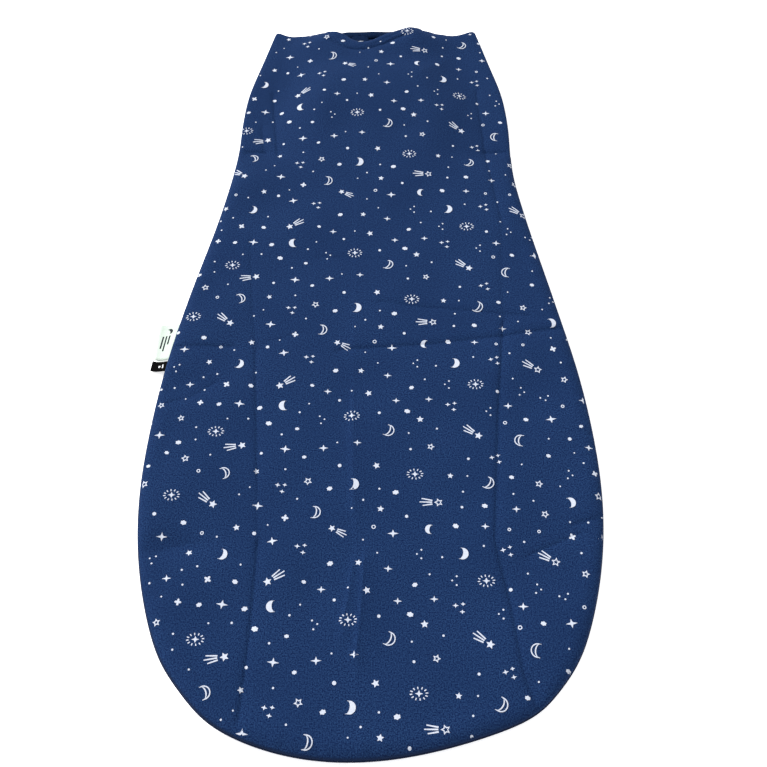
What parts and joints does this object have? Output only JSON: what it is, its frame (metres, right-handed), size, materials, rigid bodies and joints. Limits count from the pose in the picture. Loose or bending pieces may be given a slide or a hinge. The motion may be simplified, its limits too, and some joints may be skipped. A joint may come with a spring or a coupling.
{
  "type": "baby sleeping bag",
  "caption": "Pear-shaped cocoon sleeping bag for a baby, laid flat on its front, with a two-way front zip, press-stud armholes and a night-sky print.",
  "frame": {"origin": "centre of the object's box at the level of the surface that the bag lies on", "axes": "+Y from the hem to the neck, +Z from the front panels up to the back panel, +X to the right as seen from above the back"},
  "size_m": [0.349, 0.7154, 0.0244],
  "materials": {
    "navy_jersey": "matt cotton jersey with a white printed night-sky pattern",
    "lining_jersey": "plain matt cotton jersey",
    "navy_rib": "matt self-fabric binding",
    "navy_thread": "overlocked seam",
    "zip_tape": "woven polyester tape",
    "zip_teeth": "nylon coil",
    "slider_enamel": "semi-gloss enamel",
    "stud_resin": "white moulded resin",
    "white_label": "woven label",
    "black_label": "woven tag",
    "tan_label": "soft printed label",
    "care_label_satin": "satin care label"
  },
  "bodies": {
    "bag": {"back_outer_panel": "navy_jersey", "back_lining": "lining_jersey", "front_left_outer_panel": "navy_jersey", "front_right_outer_panel": "navy_jersey", "front_left_lining": "lining_jersey", "front_right_lining": "lining_jersey", "back_neck_band": "navy_rib", "front_left_neck_band": "navy_rib", "front_right_neck_band": "navy_rib", "hem_and_side_seam": "navy_thread", "shoulder_seam_left": "navy_thread", "shoulder_seam_right": "navy_thread", "arm_facing_left": "lining_jersey", "arm_facing_right": "lining_jersey", "zip_tape_left": "zip_tape", "zip_tape_right": "zip_tape", "zip_teeth_left": "zip_teeth", "zip_teeth_right": "zip_teeth", "zip_top_stop_left": "slider_enamel", "zip_top_stop_right": "slider_enamel", "zip_bottom_stop": "slider_enamel", "zip_guard": "lining_jersey", "chin_guard": "navy_rib", "side_label": "white_label", "size_tag": "black_label", "neck_label": "tan_label", "care_label": "care_label_satin", "stud_post_left_1": "stud_resin", "stud_post_left_2": "stud_resin", "stud_post_left_3": "stud_resin", "stud_post_right_1": "stud_resin", "stud_post_right_2": "stud_resin", "stud_post_right_3": "stud_resin"},
    "arm_flap_left": {"arm_flap_left": "navy_jersey", "flap_facing_left": "lining_jersey", "stud_socket_left_1": "stud_resin", "stud_socket_left_2": "stud_resin", "stud_socket_left_3": "stud_resin"},
    "arm_flap_right": {"arm_flap_right": "navy_jersey", "flap_facing_right": "lining_jersey", "stud_socket_right_1": "stud_resin", "stud_socket_right_2": "stud_resin", "stud_socket_right_3": "stud_resin"},
    "slider_upper": {"zip_slider_upper": "slider_enamel"},
    "slider_lower": {"zip_slider_lower": "slider_enamel"},
    "pull_upper": {"zip_pull_upper": "slider_enamel"},
    "pull_lower": {"zip_pull_lower": "slider_enamel"}
  },
  "joints": [
    {"name": "arm_flap_left_fold", "type": "hinge", "parent": "bag", "child": "arm_flap_left", "pos_m": [-0.08901, 0.24728, 0.012], "axis": [0, 1, 0], "range_deg": [0, 120]},
    {"name": "arm_flap_right_fold", "type": "hinge", "parent": "bag", "child": "arm_flap_right", "pos_m": [0.09499, 0.24728, 0.012], "axis": [0, -1, 0], "range_deg": [0, 120]},
    {"name": "upper_slider_slide", "type": "slide", "parent": "bag", "child": "slider_upper", "axis": [0, -1, 0], "range_m": [0, 0.32]},
    {"name": "lower_slider_slide", "type": "slide", "parent": "bag", "child": "slider_lower", "axis": [0, 1, 0], "range_m": [0, 0.205]},
    {"name": "upper_pull_swing", "type": "hinge", "parent": "slider_upper", "child": "pull_upper", "pos_m": [-0.01151, 0.31628, 0.0018], "axis": [1, 0, 0], "range_deg": [0, 170]},
    {"name": "lower_pull_swing", "type": "hinge", "parent": "slider_lower", "child": "pull_lower", "pos_m": [-0.01151, -0.25972, 0.0018], "axis": [1, 0, 0], "range_deg": [0, 170]}
  ]
}
